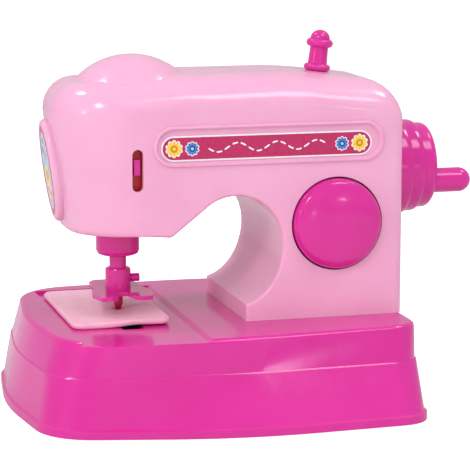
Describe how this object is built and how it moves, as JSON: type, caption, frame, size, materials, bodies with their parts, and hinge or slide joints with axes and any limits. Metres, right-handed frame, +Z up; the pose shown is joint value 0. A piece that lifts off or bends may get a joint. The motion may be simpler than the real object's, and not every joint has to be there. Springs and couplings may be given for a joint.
{
  "type": "toy sewing machine",
  "caption": "Toy sewing machine: moulded body with an arch over a flared base, hand wheel with crank peg, needle bar, presser foot, push button and a cloth square on the bed.",
  "frame": {"origin": "centre of the base's underside, on the floor", "axes": "+X from the needle end to the hand wheel, +Y from front to back, +Z up"},
  "size_m": [0.1906, 0.1476, 0.1467],
  "materials": {
    "magenta_plastic": "glossy moulded",
    "pale_plastic": "glossy moulded",
    "deep_plastic": "glossy moulded",
    "steel": "zinc plated",
    "sticker": "printed, glossy film",
    "cloth": "satin weave"
  },
  "bodies": {
    "machine": {"base_shell": "magenta_plastic", "bottom_cover": "magenta_plastic", "cover_screws": "steel", "front_shell": "pale_plastic", "rear_shell": "pale_plastic", "shell_screws": "steel", "body_screws": "steel", "front_label": "sticker", "end_plate": "pale_plastic", "end_label": "sticker", "spool_pin": "magenta_plastic", "needle_bush": "magenta_plastic", "shaft_bush_left": "deep_plastic", "shaft_bush_right": "deep_plastic", "button_spring": "steel", "cloth_square": "cloth"},
    "wheel": {"handwheel": "magenta_plastic", "wheel_screw": "steel", "main_shaft": "steel", "shaft_collar": "steel", "crank_disc": "deep_plastic", "crank_pin": "steel"},
    "needle_unit": {"needle_bar": "magenta_plastic", "drive_yoke": "magenta_plastic", "needle_clamp": "magenta_plastic", "clamp_screw": "magenta_plastic", "presser_foot": "magenta_plastic", "needle": "deep_plastic"},
    "button": {"button_cap": "magenta_plastic"}
  },
  "joints": [
    {"name": "handwheel_spin", "type": "hinge", "parent": "machine", "child": "wheel", "pos_m": [0.0778, 0, 0.0904], "axis": [1, 0, 0], "continuous": true},
    {"name": "needle_bar_slide", "type": "slide", "parent": "machine", "child": "needle_unit", "axis": [0, 0, 1], "range_m": [-0.0056, 0.0034]},
    {"name": "button_press", "type": "slide", "parent": "machine", "child": "button", "axis": [0, 1, 0], "range_m": [0, 0.003], "stiffness_N_per_m": 300, "deforming": ["button_spring"]}
  ]
}
